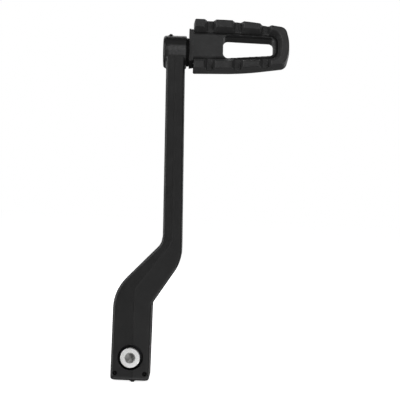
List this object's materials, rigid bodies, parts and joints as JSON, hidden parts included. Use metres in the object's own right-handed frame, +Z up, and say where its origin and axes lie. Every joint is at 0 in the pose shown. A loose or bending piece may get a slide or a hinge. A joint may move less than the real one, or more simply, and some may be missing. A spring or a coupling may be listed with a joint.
{
  "type": "motorcycle gear shift lever",
  "caption": "Cranked forged foot lever with a serrated pinch clamp at one end and a rubber-gripped toe peg bolted to the other, for shifting gears.",
  "frame": {"origin": "middle of the serrated shift-shaft bore in the clamp block", "axes": "+X along the shift shaft, outboard, the way the toe peg points; -Y towards the pinch bolt's head; +Z up the lever to the peg"},
  "size_m": [0.1111, 0.03, 0.2437],
  "materials": {
    "lever": "satin black powder coat",
    "pinch_bolt": "zinc plated",
    "pinch_washer": "black oxide",
    "peg_core": "matt black",
    "peg_rubber": "matt",
    "peg_bolt": "black oxide",
    "peg_lock_washer": "black oxide",
    "peg_washer": "black oxide"
  },
  "bodies": {
    "lever": {"lever_arm": "lever", "pinch_bolt": "pinch_bolt", "pinch_washer": "pinch_washer", "peg_lock_washer": "peg_lock_washer", "peg_washer": "peg_washer"},
    "peg": {"peg_core": "peg_core", "peg_rubber": "peg_rubber", "peg_bolt": "peg_bolt"}
  },
  "joints": [
    {"name": "peg_swivel", "type": "hinge", "parent": "lever", "child": "peg", "pos_m": [0.02122, 0, 0.1913], "axis": [0.9999, 0, 0.0157], "continuous": true}
  ]
}
